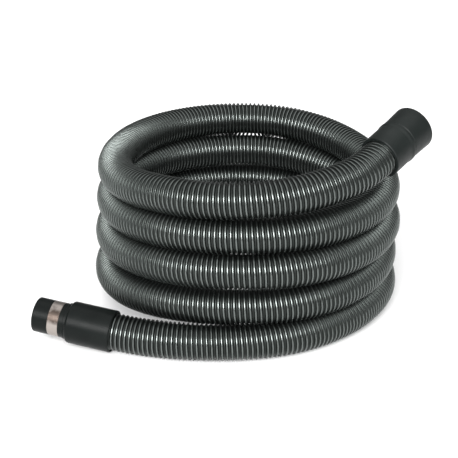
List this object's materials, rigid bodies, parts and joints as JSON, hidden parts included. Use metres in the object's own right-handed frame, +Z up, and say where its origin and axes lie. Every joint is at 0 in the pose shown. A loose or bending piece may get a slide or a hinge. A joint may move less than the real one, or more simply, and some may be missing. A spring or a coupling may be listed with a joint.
{
  "type": "vacuum hose",
  "caption": "Corrugated vacuum hose laid in loose stacked turns, with a swivelling plug-in wall cuff with a metal band and a swivelling cuff for a wand.",
  "frame": {"origin": "on the floor under the middle of the whole object's box", "axes": "+Z up, +X towards the side where the wand cuff is, +Y away from the side where both ends come forward"},
  "size_m": [0.4359, 0.3713, 0.239],
  "materials": {
    "hose": "satin charcoal, corrugated",
    "cuff": "matte moulded black",
    "bush": "plain moulded",
    "band": "brushed stainless strip",
    "seal": "soft rubber"
  },
  "bodies": {
    "hose": {"hose_coil": "hose", "wall_tail": "hose", "wand_tail": "hose", "wall_hose_nut": "bush", "wand_hose_nut": "bush"},
    "wall_cuff": {"wall_sleeve": "cuff", "wall_spigot": "cuff", "contact_band": "band", "wall_retaining_ring": "bush", "wall_seal": "seal"},
    "wand_cuff": {"wand_collar": "cuff", "wand_socket": "cuff", "wand_seal": "seal"}
  },
  "joints": [
    {"name": "wall_swivel", "type": "hinge", "parent": "hose", "child": "wall_cuff", "pos_m": [-0.1264, -0.1463, 0.0227], "axis": [-0.9584, 0.2658, 0.1045], "continuous": true},
    {"name": "wand_swivel", "type": "hinge", "parent": "hose", "child": "wand_cuff", "pos_m": [0.1583, -0.0791, 0.1974], "axis": [0.6258, 0.7328, 0.2672], "continuous": true}
  ]
}
